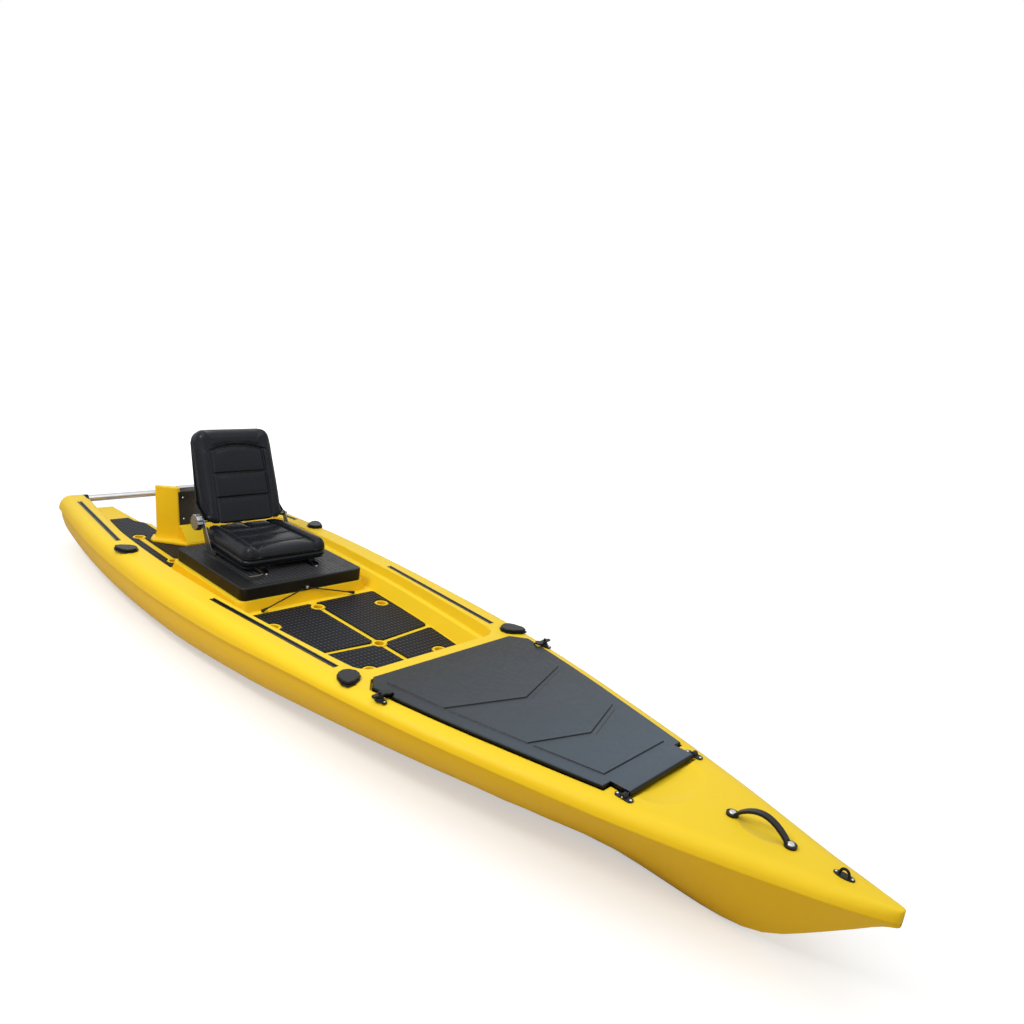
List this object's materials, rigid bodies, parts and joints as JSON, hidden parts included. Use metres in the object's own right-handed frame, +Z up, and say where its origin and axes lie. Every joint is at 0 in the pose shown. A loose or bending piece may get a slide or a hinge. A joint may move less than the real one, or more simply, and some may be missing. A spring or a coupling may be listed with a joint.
{
  "type": "motorized fishing kayak",
  "caption": "Sit-on-top fishing kayak with bow hatch, sliding reclining seat, gear tracks, rod holders, stern notch and motor mount.",
  "frame": {"origin": "under the middle of the overall box, on the plane of the flat bottom", "axes": "+X towards the bow, +Y to port, +Z up"},
  "size_m": [4.3794, 1.148, 0.8312],
  "materials": {
    "hull_plastic": "rotomoulded, satin",
    "lid_plastic": "satin",
    "black_plastic": "satin",
    "box_plastic": "satin, moulded tread",
    "rubber": "matte",
    "foam": "embossed diamonds",
    "vinyl": "grained, soft sheen",
    "steel": "brushed",
    "aluminium": "satin",
    "black_steel": "satin black paint"
  },
  "bodies": {
    "hull_assembly": {"hull": "hull_plastic", "hatch_seal": "rubber", "hatch_hinge_bracket_stbd": "black_plastic", "hatch_hinge_bracket_port": "black_plastic", "hatch_hinge_pin_stbd": "steel", "hatch_hinge_pin_port": "steel", "hatch_latch_base_stbd": "black_plastic", "hatch_latch_base_port": "black_plastic", "rod_holder_front_stbd": "black_plastic", "rod_holder_front_port": "black_plastic", "rod_holder_rear_stbd": "black_plastic", "rod_holder_rear_port": "black_plastic", "gear_track_front_stbd": "black_plastic", "gear_track_front_port": "black_plastic", "gear_track_rear_stbd": "black_plastic", "gear_track_rear_port": "black_plastic", "deck_pad_front_stbd": "foam", "deck_pad_front_port": "foam", "deck_pad_middle_stbd": "foam", "deck_pad_middle_port": "foam", "deck_pad_aft_stbd": "foam", "deck_pad_aft_port": "foam", "seat_base_box": "box_plastic", "seat_rail_lower_stbd": "steel", "seat_rail_lower_port": "steel", "motor_mount_tower": "hull_plastic", "transom_plate": "steel", "transom_cap": "aluminium", "stern_tube": "aluminium", "stern_elbow_stbd": "black_plastic", "stern_elbow_port": "black_plastic", "bow_handle": "black_plastic", "bow_handle_cap_front": "steel", "bow_handle_cap_rear": "steel", "bow_padeye": "black_plastic", "bungee_cord": "rubber", "bungee_anchor_stbd": "black_plastic", "bungee_anchor_port": "black_plastic", "bungee_hook": "steel"},
    "hatch": {"hatch_lid": "lid_plastic"},
    "latch_stbd": {"hatch_latch_lever_stbd": "black_plastic"},
    "latch_port": {"hatch_latch_lever_port": "black_plastic"},
    "rod_cap_front_stbd": {"rod_holder_cap_front_stbd": "black_plastic"},
    "rod_cap_front_port": {"rod_holder_cap_front_port": "black_plastic"},
    "rod_cap_rear_stbd": {"rod_holder_cap_rear_stbd": "black_plastic"},
    "rod_cap_rear_port": {"rod_holder_cap_rear_port": "black_plastic"},
    "seat": {"seat_rail_upper_stbd": "steel", "seat_rail_upper_port": "steel", "seat_pan": "black_steel", "seat_cushion": "vinyl", "recliner_bracket_stbd": "steel", "recliner_bracket_port": "steel"},
    "slide_lever": {"seat_slide_lever": "steel"},
    "backrest": {"backrest_shell": "black_plastic", "backrest_cushion": "vinyl"},
    "recliner": {"recliner_shaft": "steel", "recliner_knob": "aluminium"}
  },
  "joints": [
    {"name": "hatch_hinge", "type": "hinge", "parent": "hull_assembly", "child": "hatch", "pos_m": [1.47464, 0, 0.31948], "axis": [0, 1, 0], "range_deg": [0, 105]},
    {"name": "latch_turn_stbd", "type": "hinge", "parent": "hull_assembly", "child": "latch_stbd", "pos_m": [0.64273, -0.41616, 0.30616], "axis": [-0.0088, 0, 1], "range_deg": [0, 90]},
    {"name": "latch_turn_port", "type": "hinge", "parent": "hull_assembly", "child": "latch_port", "pos_m": [0.64273, 0.41616, 0.30616], "axis": [0.0088, 0, -1], "range_deg": [0, 90]},
    {"name": "rod_cap_hinge_front_stbd", "type": "hinge", "parent": "hull_assembly", "child": "rod_cap_front_stbd", "pos_m": [0.42973, -0.38333, 0.31058], "axis": [-0.6156, -0.788, -0.0054], "range_deg": [0, 90]},
    {"name": "rod_cap_hinge_front_port", "type": "hinge", "parent": "hull_assembly", "child": "rod_cap_front_port", "pos_m": [0.42973, 0.38333, 0.31058], "axis": [0.6156, -0.788, 0.0054], "range_deg": [0, 90]},
    {"name": "rod_cap_hinge_rear_stbd", "type": "hinge", "parent": "hull_assembly", "child": "rod_cap_rear_stbd", "pos_m": [-1.07732, -0.47655, 0.29732], "axis": [-0.6156, 0.788, -0.0054], "range_deg": [0, 90]},
    {"name": "rod_cap_hinge_rear_port", "type": "hinge", "parent": "hull_assembly", "child": "rod_cap_rear_port", "pos_m": [-1.07732, 0.47655, 0.29732], "axis": [0.6156, 0.788, 0.0054], "range_deg": [0, 90]},
    {"name": "seat_slide", "type": "slide", "parent": "hull_assembly", "child": "seat", "axis": [1, 0, 0], "range_m": [-0.075, 0.075]},
    {"name": "slide_lever_lift", "type": "hinge", "parent": "seat", "child": "slide_lever", "pos_m": [-0.58825, -0.154, 0.3209], "axis": [0, -1, 0], "range_deg": [0, 8]},
    {"name": "backrest_recline", "type": "hinge", "parent": "seat", "child": "backrest", "pos_m": [-0.97321, 0, 0.4372], "axis": [0, 1, 0], "range_deg": [-22, 20]},
    {"name": "recliner_turn", "type": "hinge", "parent": "seat", "child": "recliner", "pos_m": [-0.97321, -0.2443, 0.4372], "axis": [0, 1, 0], "range_deg": [-180, 180]}
  ],
  "couplings": [
    {"joint": "recliner_turn", "follows": "backrest_recline", "ratio": 8}
  ]
}
